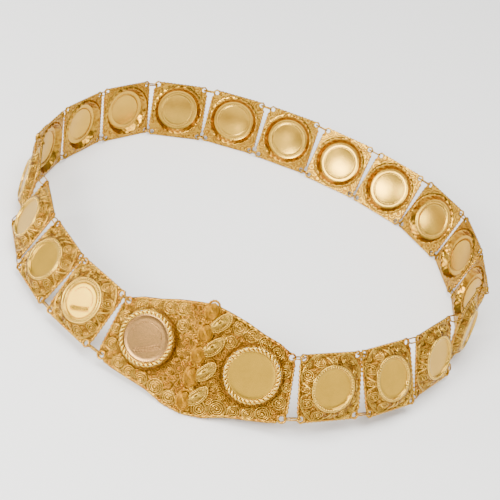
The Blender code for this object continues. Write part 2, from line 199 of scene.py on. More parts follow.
# Studio soft boxes in metres: name, place, aim, width and height, brightness
SOFT_BOXES = (
    ("overhead", (0.1, 0.1, 1.5), (0, 0, 0), (1.3, 1.3), 8.0),
    ("front", (0.25, -1.3, 0.5), (0, 0, 0.03), (1.5, 0.7), 1.9),
    ("key", (-0.5, -0.64, 0.6), (0.05, 0.05, 0.03), (0.42, 0.3), 32.0),
    ("left", (-0.72, -0.25, 0.29), (-0.1, -0.05, 0.03), (0.26, 0.2), 14.0),
    ("low", (-0.2, -0.74, 0.17), (0.03, 0.1, 0.03), (0.16, 0.14), 6.0),
    ("right", (0.85, -0.3, 0.22), (0.1, 0, 0.03), (1.0, 0.4), 1.9),
    ("left_low", (-0.78, 0.14, 0.16), (-0.1, 0, 0.03), (0.4, 0.3), 1.5),
)
WORLD_LIGHT = 0.5
TABLE_HALF = 4.0
LENS = 88.2
LENS_SHIFT = (0.0152, 0.0295)


def linear(code, alpha=1.0):
    """An sRGB hex colour as linear values."""
    channels = [int(code[i:i + 2], 16) / 255 for i in (1, 3, 5)]
    return [c / 12.92 if c <= 0.04045 else ((c + 0.055) / 1.055) ** 2.4
            for c in channels] + [alpha]


def colour(name, code, description):
    """A colour that the user may change."""
    return FloatVectorProperty(name=name, description=description, subtype="COLOR", size=4,
                               min=0, max=1, default=linear(code))


def wire_size(name, default, part):
    """A radius that the user may change, in millimetres."""
    return FloatProperty(name=name, description="Radius of %s, in millimetres" % part,
                         default=default, min=0.08, max=1.2)


class MetalSettings(bpy.types.PropertyGroup):
    """Colours and polish of the gold."""

    wire: colour("Wire", "#C99A2F", "Drawn gold wire and granules")
    sheet: colour("Sheet", "#C09331", "Rolled gold sheet seen from behind")
    shade: colour("Depths", "#91631B", "Solder and shade between the wires")
    coin: colour("Coin", "#C69A30", "Worn struck gold")
    # painted reflection: a darker, redder coin colour for the orange reflection on the clasp's
    # left coin
    old_coin: colour("Old coin", "#A07845", "Redder gold of the clasp's left coin")
    # painted highlight: a lighter wire colour, partly real burnish and partly painted highlight
    rubbed: colour("Rubbed wire", "#E4BA4F", "Burnished crests of ropes and large scrolls")
    bud: colour("Bud", "#C28A22", "High-carat gold of the crest's buds")


class FiligreeSettings(bpy.types.PropertyGroup):
    """Wire sizes of the openwork."""

    scroll_wire: wire_size("Scroll wire", 0.23, "the large scrolls' wire")
    fine_wire: wire_size("Fine wire", 0.19, "the filling wire")
    granule: wire_size("Granule", 0.72, "a large scroll's granule")
    beads: IntProperty(
        name="Bezel beads", description="Beads round a plate's coin", default=50, min=24, max=90)
    strokes: IntProperty(
        name="Rope strokes", description="Twists round a clasp coin", default=36, min=20, max=60)
    edge_bumps: IntProperty(
        name="Edge bumps", description="Twists along one edge of a plate", default=11, min=6,
        max=24)


class StageSettings(bpy.types.PropertyGroup):
    """Camera and studio."""

    distance: FloatProperty(
        name="Camera distance", description="From the middle of the ring on the table",
        default=0.724, min=0.2, max=3, unit="LENGTH")
    elevation: FloatProperty(
        name="Camera elevation", default=math.radians(36.4), subtype="ANGLE",
        description="Height of the view over the table")
    roll: FloatProperty(
        name="Camera roll", default=math.radians(15.9), subtype="ANGLE",
        description="Tilt of the picture")
    key: FloatProperty(
        name="Soft boxes", description="Brightness of all the soft boxes", default=1.0, min=0)
    floor: colour("Floor", "#F7F6F3", "Plain pale table")


def round_turn(count):
    """Angles of points spread evenly round a circle."""
    return np.arange(count) * 2 * math.pi / count


def spread(x, y, z):
    """Points from their coordinates, each of which may be one value for all."""
    return np.stack(np.broadcast_arrays(x, y, z), axis=-1).astype(float)


def polar(reach, turn, z, x=0.0, y=0.0):
    """Points at a distance and an angle round a place."""
    return spread(x + reach * np.cos(turn), y + reach * np.sin(turn), z)


def ring_points(radius, height, count, x=0.0, y=0.0):
    """Points of a level circle."""
    return polar(radius, round_turn(count), height, x, y)


class Shape:
    """Vertices and faces of one piece, in millimetres, added to step by step."""

    def __init__(self):
        self.points = []
        self.faces = []
        self.count = 0

    def add(self, points, faces):
        """Add a block of points and the faces that index them."""
        points = np.asarray(points, float).reshape(-1, 3)
        self.points.append(points)
        self.faces.extend([tuple(int(i) + self.count for i in face) for face in faces])
        self.count += len(points)

    def grid(self, rows, closed_across=False, closed_along=False):
        """Faces over rows of points: the surface of a sheet or tube."""
        rows = np.asarray(rows, float)
        down, across = rows.shape[:2]
        faces = []
        for i in range(down if closed_along else down - 1):
            below = (i + 1) % down
            for j in range(across if closed_across else across - 1):
                right = (j + 1) % across
                faces.append((i * across + j, i * across + right, below * across + right,
                              below * across + j))
        self.add(rows.reshape(-1, 3), faces)

    def cap(self, first, sides, flip=False):
        """Close a ring of points, counted from the first, with one face."""
        ring = range(first, first + sides)
        self.faces.append(tuple(reversed(ring) if flip else ring))

    def tube(self, path, radius, sides=4, closed=False, flat=1.0):
        """Wire along a path. radius is one value or one for each point; flat squashes it in Z."""
        path = np.asarray(path, float)
        radius = np.broadcast_to(np.asarray(radius, float), len(path))
        if closed:
            ahead = np.roll(path, -1, axis=0) - np.roll(path, 1, axis=0)
        else:
            ahead = np.gradient(path, axis=0)
        ahead /= np.linalg.norm(ahead, axis=1)[:, None] + 1e-12
        up = np.tile((0.0, 0.0, 1.0), (len(path), 1))
        side = np.cross(ahead, up)
        short = np.linalg.norm(side, axis=1) < 1e-3
        side[short] = (1.0, 0.0, 0.0)
        side /= np.linalg.norm(side, axis=1)[:, None]
        up = np.cross(side, ahead)
        rows = []
        for k in range(sides):
            angle = 2 * math.pi * (k + 0.5) / sides
            rows.append(path + radius[:, None] * (math.cos(angle) * side
                                                  + flat * math.sin(angle) * up))
        rings = np.stack(rows, axis=1)
        self.grid(rings, closed_across=True, closed_along=closed)
        if not closed:
            self.cap(self.count - sides * len(path), sides)
            self.cap(self.count - sides, sides, flip=True)

    def ring(self, ring, count, sides=5, x=0.0, y=0.0):
        """A closed ring of wire round a place."""
        path = ring_points(ring.radius, ring.height, count, x, y)
        self.tube(path, ring.wire, sides, closed=True)

    def granule(self, x, y, z, radius, sides=7):
        """A round grain of gold, half sunk in its solder."""
        rings = []
        for low in (-0.5, 0.25, 0.85):
            reach = radius * math.sqrt(1 - low * low)
            rings.append(ring_points(reach, z + radius * low, sides, x, y))
        first = self.count
        self.grid(np.stack(rings), closed_across=True)
        self.cap(first + 2 * sides, sides)
        self.cap(first, sides, flip=True)

    def bend(self, side):
        """Curve what was drawn on the straight clasp half: the right one, or for -1 the left."""
        for block in self.points:
            x, y = swept(block[:, 0], block[:, 1])
            block[:, 0], block[:, 1] = side * x, y
        if side < 0:
            self.faces = [face[::-1] for face in self.faces]

    def mesh(self, name):
        """The finished mesh, in metres, smooth shaded."""
        mesh = bpy.data.meshes.new(name)
        points = np.concatenate(self.points) * MM
        mesh.from_pydata(points.tolist(), [], self.faces)
        mesh.validate()
        mesh.update()
        mesh.shade_smooth()
        return mesh


def profile_height(profile, reach, outside):
    """Height of a turned profile at a distance from its axis, or outside's height beyond it."""
    radii, heights = zip(*profile)
    return np.maximum(np.interp(reach, radii, heights), outside)


def plate_height(x, y):
    """Height of a plate's front over the sheet's middle."""
    return profile_height(PLATE_DOME, np.hypot(x, y), SHEET / 2)


def clasp_height(x, y):
    """Height of a clasp half's front over the sheet's middle, at a place on the straight half."""
    coin_x, coin_y = clasp_coin()
    x, y = swept(x, y)
    return profile_height(CLASP_DOME, np.hypot(x - coin_x, y - coin_y), CLASP_SHEET / 2)


def spiral(x, y, radius, turns, start, sense, per_turn=13):
    """Flat points of a scroll that winds inwards."""
    count = max(8, int(turns * per_turn))
    share = np.linspace(0, 1, count)
    reach = radius * (1 - 0.8 * share)
    angle = start + sense * 2 * math.pi * turns * share
    return x + reach * np.cos(angle), y + reach * np.sin(angle)


def smooth_line(corners, count):
    """Points along a soft curve through the corners."""
    corners = np.asarray(corners, float)
    padded = np.vstack([2 * corners[0] - corners[1], corners, 2 * corners[-1] - corners[-2]])
    out = []
    spans = len(corners) - 1
    for t in np.linspace(0, spans, count):
        i = min(int(t), spans - 1)
        f = t - i
        a, b, c, d = padded[i:i + 4]
        out.append(0.5 * (2 * b + (c - a) * f + (2 * a - 5 * b + 4 * c - d) * f * f
                          + (3 * b - a - 3 * c + d) * f ** 3))
    return np.array(out)


def laid(height, x, y, lift):
    """Flat points laid on a face, lifted by lift."""
    return spread(x, y, height(x, y) + lift)


def add_scroll(shape, height, scroll, wire, grain, start, sense, sides=4):
    """One scroll of wire with a granule in its eye."""
    x, y = spiral(scroll.x, scroll.y, scroll.radius, scroll.turns, start, sense)
    shape.tube(laid(height, x, y, wire * 0.8), wire, sides)
    base = float(height(scroll.x, scroll.y))
    shape.granule(scroll.x, scroll.y, base + grain * 0.4, grain)


def free_scrolls(inside, taken, sizes, box, seed, tries):
    """Small scrolls that fill what is left between the large ones, largest first."""
    rng = random.Random(seed)
    placed = [(s.x, s.y, s.radius) for s in taken]
    fill = []
    for radius in sizes:
        for _ in range(tries):
            x = rng.uniform(*box[0])
            y = rng.uniform(*box[1])
            if not inside(x, y, radius):
                continue
            held = np.array(placed)
            apart = np.hypot(held[:, 0] - x, held[:, 1] - y) - held[:, 2]
            if apart.min() > radius + 0.02:
                placed.append((x, y, radius))
                fill.append(Scroll(x, y, radius, 1.0 + 0.45 * radius))
    return fill


def in_plate(x, y, radius):
    """Whether a scroll lies on a plate's front, clear of the coin, the edges and the holes."""
    to_hole = math.hypot(abs(x) - EYELET[0], abs(y) - EYELET[1])
    return (abs(x) < HALF_WIDE - EDGE_ROOM - radius and abs(y) < HALF_TALL - EDGE_ROOM - radius
            and to_hole > HOLE_R + HOLE_ROOM + radius
            and math.hypot(x, y) > SEAT_R + SEAT_ROOM + radius)


def clasp_edges(x):
    """Heights of a clasp half's top and bottom edge at a distance from the seam."""
    along = [s.along for s in CLASP_SECTIONS] + [CLASP_HALF - CLASP_EYELET_IN]
    end = EYELET[1] + 2.4
    top = np.interp(x, along, [s.top for s in CLASP_SECTIONS] + [end])
    bottom = -np.interp(x, along, [s.bottom for s in CLASP_SECTIONS] + [end])
    return top, bottom


def in_clasp(x, y, radius):
    """Whether a scroll lies on a clasp half's front, clear of coin, edges and holes."""
    top, bottom = clasp_edges(x)
    hole_x = CLASP_HALF - CLASP_EYELET_IN
    flat_x, flat_y = swept(x, y)
    coin_x, coin_y = clasp_coin()
    return (0.4 + radius < x < CLASP_HALF - 0.8 - radius
            and bottom + CLASP_EDGE_ROOM + radius < y < top - CLASP_EDGE_ROOM - radius
            and math.hypot(flat_x - coin_x, flat_y - coin_y)
            > CLASP_DOME_R + CLASP_DOME_ROOM + radius
            and math.hypot(x - hole_x, abs(y) - EYELET[1]) > HOLE_R + HOLE_ROOM + radius)


def swept(x, y):
    """Points of the straight clasp half, as a maker lays it out, on the half that curves up."""
    radius = CLASP_HALF / math.radians(CLASP_SWEEP)
    turned_by = np.asarray(x) / radius
    reach = radius - np.asarray(y)
    return reach * np.sin(turned_by), radius - reach * np.cos(turned_by)


def unswept(x, y):
    """Back from the curved clasp half to the straight one."""
    radius = CLASP_HALF / math.radians(CLASP_SWEEP)
    return radius * math.atan2(x, radius - y), radius - math.hypot(x, radius - y)


def clasp_coin():
    """Centre of a clasp half's coin, to the right of the seam."""
    return [float(v) for v in swept(CLASP_HALF - CLASP_COIN_IN, CLASP_COIN_UP)]


def turned(degrees, axis):
    """Rotation about an axis."""
    return Matrix.Rotation(math.radians(degrees), 4, axis)


def moved(x, y):
    """Shift across a plate's face, in millimetres."""
    return Matrix.Translation(Vector((x, y, 0)) * MM)


def stance(turn, lean, slope):
    """Rotation that stands a flat-drawn plate on its edge."""
    return (turned(turn, "Z") @ Matrix.Rotation(-slope, 4, "Y") @ turned(lean, "X")
            @ turned(90, "X"))


def coin_place(node, rotation):
    """Middle of the sheet under a packed coin, from the coin's own vertices."""
    points = np.array([v.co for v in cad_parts[node].data.vertices], float)
    own = points @ np.array(rotation.to_3x3())
    middle = (own.min(axis=0) + own.max(axis=0)) / 2
    middle[2] = own[:, 2].max() - BEZEL_TOP * MM
    return rotation @ Vector(middle)


def plate_frames():
    """World placement of each plate's drawing frame."""
    frames = []
    for i, stand in enumerate(PLATES):
        before = PLATES[max(i - 1, 0)].rise
        after = PLATES[min(i + 1, len(PLATES) - 1)].rise
        rotation = stance(stand.turn, stand.lean, math.atan2(after - before, 2 * PITCH))
        frames.append(Matrix.Translation(coin_place("coin_%02d" % (i + 1), rotation)) @ rotation)
    return frames


def chain_run():
    """The chain in plan, from its first joint to its last."""
    steps = [Vector((math.cos(math.radians(s.turn)), math.sin(math.radians(s.turn))))
             for s in PLATES]
    return sum(steps, Vector((0, 0))) * PITCH


def clasp_frames():
    """World placement of the left and the right clasp half."""
    run = chain_run()
    turn = math.degrees(math.atan2(-run.y, -run.x))
    flat = stance(turn, CLASP_LEAN, 0) @ turned(CLASP_ROLL, "Z")
    x, y = clasp_coin()
    frames = {}
    for name, side in (("left", -1), ("right", 1)):
        rotation = flat @ turned(side * CLASP_BEND, "Y")
        coin = coin_place("coin_clasp_" + name, rotation)
        frames[name] = Matrix.Translation(coin) @ rotation @ moved(-side * x, -y)
    return frames


CLASP_HALF = (chain_run().length - CLASP_END_SLACK) / 2 / math.cos(math.radians(CLASP_BEND))
PLATE_FRAMES = plate_frames()
CLASP_FRAMES = clasp_frames()


def show(item, matrix):
    """Put an object in the scene."""
    item.matrix_world = matrix
    bpy.context.scene.collection.objects.link(item)


def place(name, mesh, matrix, finish):
    """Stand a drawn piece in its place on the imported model."""
    mesh.materials.clear()
    mesh.materials.append(metal(finish))
    item = bpy.data.objects.new(name, mesh)
    show(item, matrix)
    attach(item, BODY)
    return item


def node(tree, kind, settings=None, links=None):
    """Add a shader node with its settings and its incoming links."""
    made = tree.nodes.new(kind)
    for name, value in (settings or {}).items():
        if isinstance(name, int) or name in made.inputs:
            made.inputs[name].default_value = value
        else:
            setattr(made, name, value)
    for name, source in (links or {}).items():
        tree.links.new(source, made.inputs[name])
    return made


def new_metal(name, roughness):
    """A metal with its tree and the coordinates of the piece as it is drawn."""
    material = bpy.data.materials.new(name)
    material.use_nodes = True
    tree = material.node_tree
    shader = tree.nodes["Principled BSDF"]
    shader.inputs["Metallic"].default_value = 1.0
    shader.inputs["Roughness"].default_value = roughness
    return material, tree, node(tree, "ShaderNodeTexCoord").outputs["Object"]


def finish_metal(material, tone, height=None, strength=0.0, deep=0.0):
    """Give a metal its colour and, where it has one, its relief, deep in millimetres."""
    tree = material.node_tree
    shader = tree.nodes["Principled BSDF"]
    tree.links.new(tone, shader.inputs["Base Color"])
    if height:
        bump = node(tree, "ShaderNodeBump", {"Strength": strength, "Distance": deep * MM},
                    {"Height": height})
        tree.links.new(bump.outputs["Normal"], shader.inputs["Normal"])
    return material


def blend_colours(tree, factor, low, high):
    """A colour between low and high by a factor socket."""
    mix = node(tree, "ShaderNodeMix", {"data_type": "RGBA", 6: low, 7: high}, {0: factor})
    return mix.outputs[2]


def clouded(tree, where, wide, low, high, detail=2.0, sharp=None):
    """A colour that drifts between two in clouds so many millimetres wide, and their height."""
    noise = node(tree, "ShaderNodeTexNoise", {"Scale": 1 / (wide * MM), "Detail": detail},
                 {"Vector": where})
    cloud = share = noise.outputs["Fac"]
    if sharp:
        share = node(tree, "ShaderNodeMapRange", {1: sharp[0], 2: sharp[1]}, {0: cloud}).outputs[0]
    return blend_colours(tree, share, low, high), cloud


def coiled(tree, where, coil, turn, low, high):
    """Height of wire wound in coils, with coil's width and turn to turn in millimetres."""
    coils = node(tree, "ShaderNodeTexVoronoi", {"Scale": 1 / (coil * MM)}, {"Vector": where})
    phase = node(tree, "ShaderNodeMath", {"operation": "MULTIPLY", 1: 2 * math.pi * coil / turn},
                 {0: coils.outputs["Distance"]})
    wave = node(tree, "ShaderNodeMath", {"operation": "SINE"}, {0: phase.outputs[0]})
    return node(tree, "ShaderNodeMapRange", {1: low, 2: high}, {0: wave.outputs[0]}).outputs[0]


def darker(tone, share):
    """A colour scaled towards black."""
    return [c * share for c in tone[:3]] + [1.0]


def blend_of(low, high, share):
    """A colour between two, as plain values."""
    return [a + (b - a) * share for a, b in zip(low, high)]


def rolled_sheet_gold(settings):
    """Rolled 22-carat sheet, planished and pickled: it gives a soft, slightly uneven sheen."""
    material, tree, where = new_metal("rolled_sheet_gold", 0.33)
    tone, cloud = clouded(tree, where, 11, darker(settings.sheet, 0.78), settings.sheet, 3.0)
    planish_mm = 2.4
    planish = node(tree, "ShaderNodeTexVoronoi",
                   {"Scale": 1 / (planish_mm * MM), "feature": "SMOOTH_F1"}, {"Vector": where})
    return finish_metal(material, tone, planish.outputs["Distance"], strength=0.25, deep=0.2)


def pierced_back_gold(settings):
    """The back of the openwork: the wires' coils show through, worn smooth with wear."""
    material, tree, where = new_metal("pierced_back_gold", 0.36)
    ridge = coiled(tree, where, coil=4.6, turn=1.3, low=-0.9, high=0.3)
    # painted shade: the grooves between the coils take the shade colour
    tone = blend_colours(tree, ridge, settings.shade, settings.sheet)
    return finish_metal(material, tone, ridge, strength=0.8, deep=0.4)


def pressed_sheet_gold(settings):
    """Sheet pressed over the filigree: clouds of painted shade make it redder and deeper."""
    material, tree, where = new_metal("pressed_sheet_gold", 0.25)
    # painted shade: clouds of the shade colour darken the bowl's hollow
    tone, cloud = clouded(tree, where, 3, settings.shade, darker(settings.sheet, 0.9),
                          sharp=(0.35, 0.65))
    return finish_metal(material, tone, cloud, strength=0.4, deep=0.3)


def drawn_wire_gold(settings):
    """Drawn and flattened wire: bright where it is worn, redder where solder has run."""
    material, tree, where = new_metal("drawn_wire_gold", 0.24)
    tone, cloud = clouded(tree, where, 6, linear("#A87024"), settings.wire, sharp=(0.35, 0.62))
    return finish_metal(material, tone)


def openwork_gold(settings):
    """Floor of the openwork: tight coils of fine wire, dark with solder and shade in between.

    The coils are drawn at 0.85 mm from turn to turn, coarser than real, so that they show.
    """
    material, tree, where = new_metal("openwork_gold", 0.5)
    ridge = coiled(tree, where, coil=3.4, turn=0.85, low=-0.5, high=0.8)
    tone = blend_colours(tree, ridge, darker(settings.shade, 0.35), linear("#A06E24"))
    return finish_metal(material, tone, ridge, strength=0.7, deep=0.4)


def coin_metal(name, base):
    """Struck and worn: satin field with fine wear and a faint tarnish."""
    material, tree, where = new_metal(name, 0.27)
    tone, tarnish = clouded(tree, where, 6, darker(base, 0.74), base, 4.0)
    wear_mm = 0.7
    wear = node(tree, "ShaderNodeTexNoise", {"Scale": 1 / (wear_mm * MM), "Detail": 2.0},
                {"Vector": where})
    return finish_metal(material, tone, wear.outputs["Fac"], strength=0.12, deep=0.1)


def struck_coin_gold(settings):
    """A worn coin of alloyed gold, evenly satin from handling."""
    return coin_metal("struck_coin_gold", settings.coin)


def old_coin_gold(settings):
    """The clasp's left coin, darker and redder: a painted reflection of orange light."""
    return coin_metal("old_coin_gold", settings.old_coin)


def coin_back_gold(settings):
    """The cup behind a coin: planished sheet, which mirrors the room in a soft disc."""
    # a share of the lighter burnished colour, with its painted highlight, makes the cup paler
    return coin_metal("coin_back_gold", blend_of(settings.sheet, settings.rubbed, 0.35))


def scroll_gold(settings):
    """Large scrolls: drawn wire, halfway to burnished wire with its painted highlight."""
    return coin_metal("scroll_gold", blend_of(settings.wire, settings.rubbed, 0.5))


def burnished_rope_gold(settings):
    """Twisted wire, burnished and with painted highlight: the brightest metal on the chain."""
    material, tree, where = new_metal("burnished_rope_gold", 0.2)
    tone, cloud = clouded(tree, where, 8, darker(settings.rubbed, 0.75), settings.rubbed)
    return finish_metal(material, tone)


def bud_gold(settings):
    """Domed buds of redder high-carat gold wound with fine wire."""
    material, tree, where = new_metal("bud_gold", 0.3)
    tone, cloud = clouded(tree, where, 4, darker(settings.bud, 0.7), settings.bud)
    return finish_metal(material, tone)


METALS = {maker.__name__: maker for maker in (
    rolled_sheet_gold, pierced_back_gold, pressed_sheet_gold, old_coin_gold, coin_back_gold,
    scroll_gold, drawn_wire_gold, openwork_gold, struck_coin_gold, burnished_rope_gold, bud_gold)}


def metal(name):
    """One of the metals, made on first use."""
    return bpy.data.materials.get(name) or METALS[name](bpy.context.scene.waist_metal)


def plate_ground_mesh():
    """Skin on a plate's front, from the bezel out to the edges and round the eyelets."""
    shape = Shape()
    steps = 96
    rows = []
    for share in (0.0, 0.17, 0.34, 0.5, 0.66, 0.83, 1.0):
        ring = []
        for angle in round_turn(steps):
            c, s = math.cos(angle), math.sin(angle)
            edge = min((HALF_WIDE - EDGE_INSET) / max(abs(c), 1e-6),
                       (HALF_TALL - EDGE_INSET) / max(abs(s), 1e-6))
            to_hole = abs(c) * EYELET[0] + abs(s) * EYELET[1]
            off_axis = abs(abs(c) * EYELET[1] - abs(s) * EYELET[0])
            margin = HOLE_R + HOLE_INSET
            if off_axis < margin:
                edge = min(edge, to_hole - math.sqrt(margin ** 2 - off_axis ** 2))
            reach = SEAT_R + SKIN + (edge - SEAT_R - SKIN) * share
            x, y = reach * c, reach * s
            ring.append((x, y, float(plate_height(x, y)) + SKIN))
        rows.append(ring)
    shape.grid(rows, closed_across=True)
    return shape.mesh("plate_ground")


def plate_scrolls():
    """The large scrolls of a plate, all round."""
    corners = [s._replace(x=s.x * sx, y=s.y * sy) for sx, sy in QUARTERS for s in PLATE_SCROLLS]
    return corners + PLATE_MIDDLES


def plate_frames_mesh(settings):
    """Large scrolls, their granules and the wires that frame them on a plate's front."""
    shape = Shape()
    for sx, sy in QUARTERS:
        for k, scroll in enumerate(PLATE_SCROLLS):
            there = scroll._replace(x=scroll.x * sx, y=scroll.y * sy)
            sense = sx * sy * (1 if k % 2 else -1)
            start = math.atan2(there.y, there.x) + math.pi * (k % 2)
            add_scroll(shape, plate_height, there, settings.scroll_wire,
                       settings.granule * scroll.radius / 3.0, start, sense, 5)
        for inward, wire in FRAME_WIRES:
            line = smooth_line(PLATE_ARC, 40)
            line *= 1 - inward / np.hypot(line[:, 0], line[:, 1])[:, None]
            x, y = line[:, 0] * sx, line[:, 1] * sy
            shape.tube(laid(plate_height, x, y, 0.3), wire, 4)
    for k, scroll in enumerate(PLATE_MIDDLES):
        add_scroll(shape, plate_height, scroll, settings.scroll_wire, settings.granule * 0.6,
                   k * 1.7, 1 if k % 2 else -1)
    return shape.mesh("plate_frames")


def plate_filigree_mesh(settings, seed):
    """Small scrolls that fill a plate's front between the large ones."""
    shape = Shape()
    rng = random.Random(seed)
    box = ((-HALF_WIDE, HALF_WIDE), (-HALF_TALL, HALF_TALL))
    for scroll in free_scrolls(in_plate, plate_scrolls(), PLATE_FILL, box, seed, PLATE_TRIES):
        add_scroll(shape, plate_height, scroll, settings.fine_wire, settings.fine_wire * 1.9,
                   rng.uniform(0, 6.28), rng.choice((-1, 1)))
    return shape.mesh("plate_filigree")


def corded_line(shape, corners, bumps, radius, depth, steps=7, sides=7, closed=False):
    """Twisted wire along straight or curved corners: it swells at each twist."""
    count = bumps * steps + (0 if closed else 1)
    path = smooth_line(corners, count) if len(corners) < 60 else np.asarray(corners)
    share = np.linspace(0, bumps, len(path), endpoint=not closed)
    swell = radius * (1 - depth * (0.5 + 0.5 * np.cos(2 * math.pi * share)))
    shape.tube(path, swell, sides, closed)


def plate_edges_mesh(settings):
    """Milled wire along a plate's four edges and a collar round each eyelet."""
    shape = Shape()
    wide, tall = HALF_WIDE + 0.05, HALF_TALL - 0.6
    ends = np.array((-CORD_END, CORD_END))
    for x, y in ((ends, tall), (ends, -tall), (wide, ends), (-wide, ends)):
        corded_line(shape, spread(x, y, CORD_HIGH), settings.edge_bumps, CORD, CORD_DEPTH)
    for sx, sy in QUARTERS:
        shape.ring(COLLAR, 22, 6, sx * EYELET[0], sy * EYELET[1])
    return shape.mesh("plate_edges")


def bezel_mesh(settings):
    """Beads round a plate's coin, between two smooth wires."""
    shape = Shape()
    for x, y, z in ring_points(BEADS.radius, BEADS.height, settings.beads):
        shape.granule(x, y, z, BEADS.wire)
    for wire in BEZEL_WIRES:
        shape.ring(wire, 64)
    return shape.mesh("bezel")


def rope_bezel_mesh(settings):
    """Rope round a clasp coin: each twist of the wire is a slanted stroke, dark in between."""
    shape = Shape()
    share = np.linspace(-1, 1, 7)
    for middle in round_turn(settings.strokes):
        path = polar(ROPE.radius + share * 0.95, middle + share * 1.15 / ROPE.radius,
                     ROPE.height - 0.45 * share ** 2)
        shape.tube(path, 0.2 + (ROPE.wire - 0.2) * np.sqrt(1 - 0.96 * share ** 2), 7)
    shape.ring(ROPE_FOOT, 72)
    return shape.mesh("rope_bezel")


def coin_face_mesh(radius, branches, name):
    """A coin's field with a low rim, and on some a plain pair of leafy branches."""
    shape = Shape()
    steps = 72
    # Each ring's share of the radius and its rise, flat up to the rim
    rings = ((0.02, 0.0), (0.2, 0.0), (0.4, 0.0), (0.6, 0.0), (0.8, 0.0), (0.9, 0.0),
             (0.94, 0.14), (0.97, 0.16), (1.0, 0.0))
    rows = [ring_points(share * radius, COIN_FACE + 0.06 + rise, steps) for share, rise in rings]
    shape.grid(np.stack(rows), closed_across=True)
    shape.cap(0, steps, flip=True)
    if branches:
        add_branches(shape, radius)
    return shape.mesh(name)


def add_branches(shape, radius):
    """Plain low relief: a leafy branch low on the right, an arc over it and a few dots."""
    level = COIN_FACE + 0.1
    x = np.linspace(-0.42, 0.66, 20) * radius
    y = (-0.62 + 0.5 * np.linspace(0, 1, 20) ** 1.4) * radius
    shape.tube(spread(x, y, level), 0.2, 5)
    for k in range(1, 19, 2):
        for lean in (-0.75, 0.75):
            angle = math.atan2(y[k] - y[k - 1], x[k] - x[k - 1]) + lean
            tip = (x[k] + 2.2 * math.cos(angle), y[k] + 2.2 * math.sin(angle))
            leaf = np.linspace((x[k], y[k], level), (*tip, level), 5)
            shape.tube(leaf, [0.1, 0.4, 0.5, 0.36, 0.05], 5, flat=0.6)
    shape.tube(polar(0.66 * radius, np.linspace(0.15, 1.75, 24), level), 0.22, 5)
    for dot in polar(0.68 * radius, np.array((1.9, 2.15, 2.4, 2.65, 2.9)), level):
        shape.granule(*dot, 0.42)
    for turn in round_turn(60):
        shape.tube(polar(np.array((0.9, 0.97)) * radius, turn, level + 0.1), 0.17, 4)


def back_plate_mesh():
    """Round back of a coin's cup, seen from inside the chain."""
    shape = Shape()
    rows = [ring_points(r, z, 48)[::-1] for r, z in BACK_PLATE]
    shape.grid(np.stack(rows), closed_across=True)
    shape.cap(0, 48, flip=True)
    return shape.mesh("back_plate")


def bowl_mesh(seed):
    """Bowl behind a dome, embossed by the scrolls and granules on its other side."""
    shape = Shape()
    rng = random.Random(seed)
    bumps, steps = 24, 192
    turn = round_turn(steps)
    lift = np.array([rng.uniform(0.55, 1.0) for _ in range(bumps)])
    tall = np.repeat(lift, steps // bumps)
    radii, heights = zip(*BOWL)
    rows = []
    for share in np.linspace(0, 1, 12):
        reach = radii[0] + (radii[-1] - radii[0]) * share
        # Scrolls press through in the outer band, and grains in the inner one
        wave = 0.5 - 0.5 * np.cos(bumps * turn)
        outer = np.exp(-((share - 0.62) / 0.2) ** 2)
        inner = np.exp(-((share - 0.2) / 0.12) ** 2) * (0.5 - 0.5 * np.cos(bumps * turn + math.pi))
        swell = 0.75 * tall * outer * wave ** 0.8 + 0.3 * inner
        rows.append(polar(reach, turn, np.interp(reach, radii, heights) - 0.05 - swell))
    shape.grid(np.stack(rows)[:, ::-1], closed_across=True)
    return shape.mesh("bowl")


def back_relief_mesh(seed):
    """What shows on the back of a plate's corners: grains of solder and a collar round each
    eyelet.
    """
    shape = Shape()
    rng = random.Random(seed)
    for sx, sy in QUARTERS:
        # Grains lie in the corner that the bowl leaves, clear of the eyelet
        for _ in range(9):
            x, y = rng.uniform(11.4, 15.9), rng.uniform(11.4, 16.2)
            clear = math.hypot(x - EYELET[0], y - EYELET[1]) > HOLE_R + 0.8
            if math.hypot(x, y) > 17.4 and clear:
                shape.granule(sx * x, sy * y, -SHEET / 2, rng.uniform(0.25, 0.45), 6)
        shape.ring(BACK_COLLAR, 18, 5, sx * EYELET[0], sy * EYELET[1])
    return shape.mesh("back_relief")


class CHAIN_OT_finish_solids(bpy.types.Operator):
    """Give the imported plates, coins and crest their metals"""

    bl_idname = "chain.finish_solids"
    bl_label = "Finish the solids"

    def execute(self, context):
        finishes = (("coin", "struck_coin_gold"), ("crest_bud", "bud_gold"),
                    ("crest_leaf", "openwork_gold"), ("", "pierced_back_gold"))
        for name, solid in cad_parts.items():
            finish = next(finish for start, finish in finishes if name.startswith(start))
            solid.data.materials.clear()
            solid.data.materials.append(metal(finish))
        return {"FINISHED"}


class CHAIN_OT_plates(bpy.types.Operator):
    """Lay filigree, milled edges and the embossed hollow on every plate"""

    bl_idname = "chain.plates"
    bl_label = "Dress the plates"

    def execute(self, context):
        settings = context.scene.waist_filigree
        ground = plate_ground_mesh()
        frames = plate_frames_mesh(settings)
        works = [plate_filigree_mesh(settings, seed) for seed in (3, 11, 27)]
        edges = plate_edges_mesh(settings)
        back = back_plate_mesh()
        bowls = [bowl_mesh(seed) for seed in (2, 5, 9)]
        relief = [back_relief_mesh(seed) for seed in (4, 6)]
        for i, matrix in enumerate(PLATE_FRAMES):
            tag = "%02d" % (i + 1)
            for name, mesh, finish in (
                    ("ground_", ground, "openwork_gold"),
                    ("scrolls_", frames, "scroll_gold"),
                    ("filigree_", works[i % len(works)], "drawn_wire_gold"),
                    ("edges_", edges, "drawn_wire_gold"),
                    ("back_plate_", back, "coin_back_gold"),
                    ("bowl_", bowls[i % len(bowls)], "pressed_sheet_gold"),
                    ("back_relief_", relief[i % len(relief)], "rolled_sheet_gold")):
                place(name + tag, mesh, matrix, finish)
        return {"FINISHED"}


